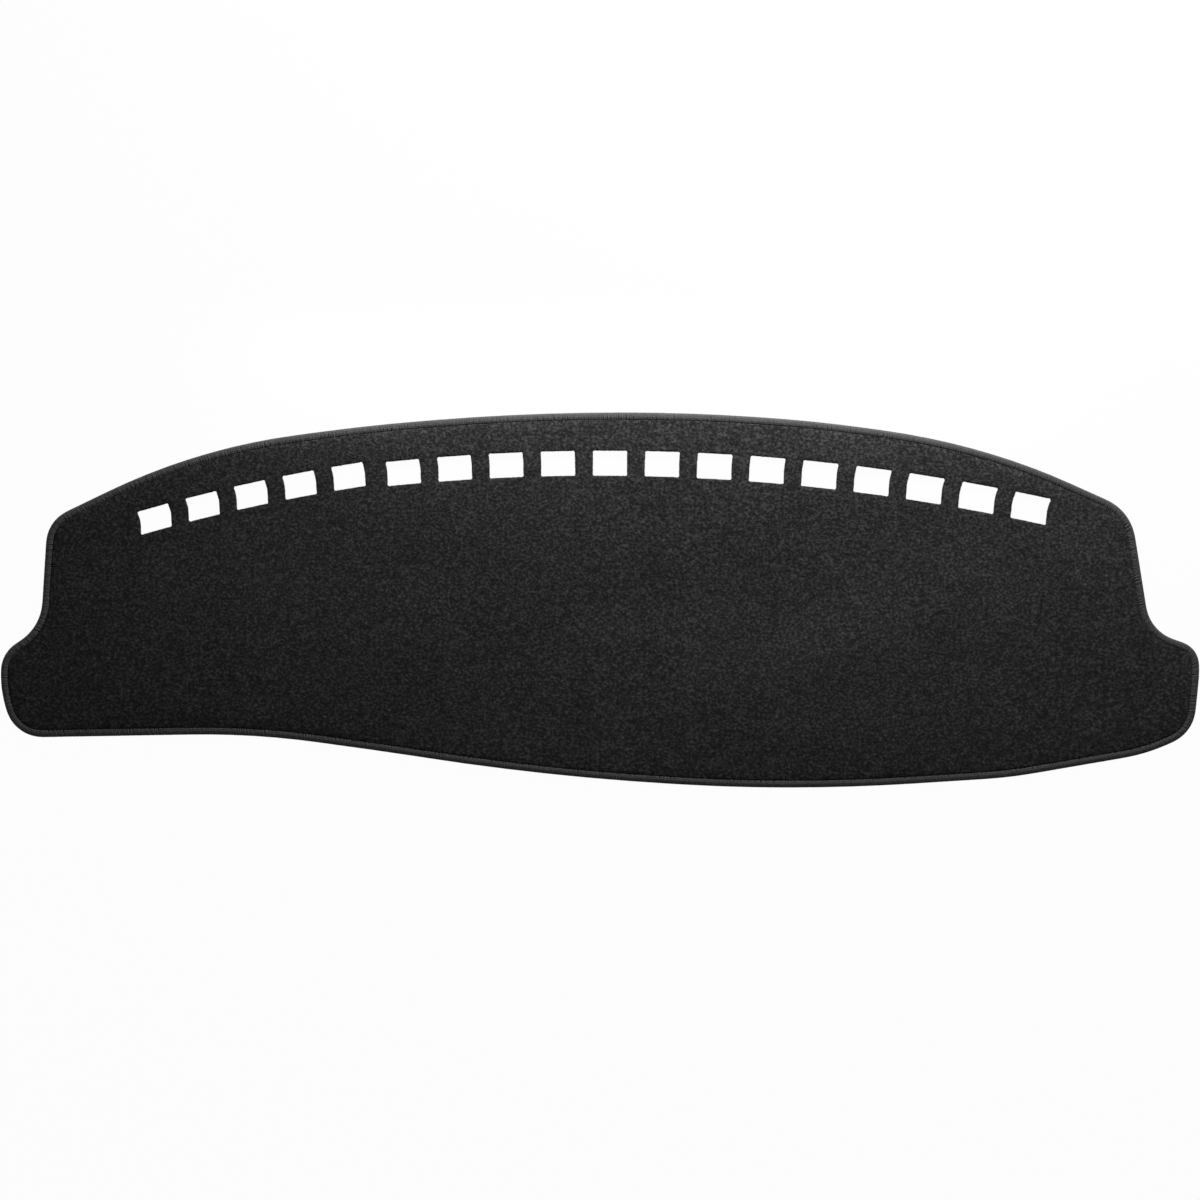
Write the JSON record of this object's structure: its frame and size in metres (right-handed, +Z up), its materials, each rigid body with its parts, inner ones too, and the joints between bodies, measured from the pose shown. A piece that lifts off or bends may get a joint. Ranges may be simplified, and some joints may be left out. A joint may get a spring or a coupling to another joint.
{
  "type": "dashboard cover mat",
  "caption": "Shaped carpet mat that lies on a left-hand-drive car's dashboard, with a row of vent windows and an overlocked yarn edge.",
  "frame": {"origin": "middle of the mat's footprint, on the surface it lies on", "axes": "+X along the dashboard to the passenger's side, +Y to the windscreen, +Z up out of the pile"},
  "size_m": [1.44, 0.45, 0.005],
  "materials": {
    "pile_carpet": "matt short cut pile, near black",
    "edge_yarn": "soft textured overlock yarn, charcoal"
  },
  "bodies": {
    "root": {"mat_sheet": "pile_carpet", "edge_overlock": "edge_yarn"}
  },
  "joints": []
}
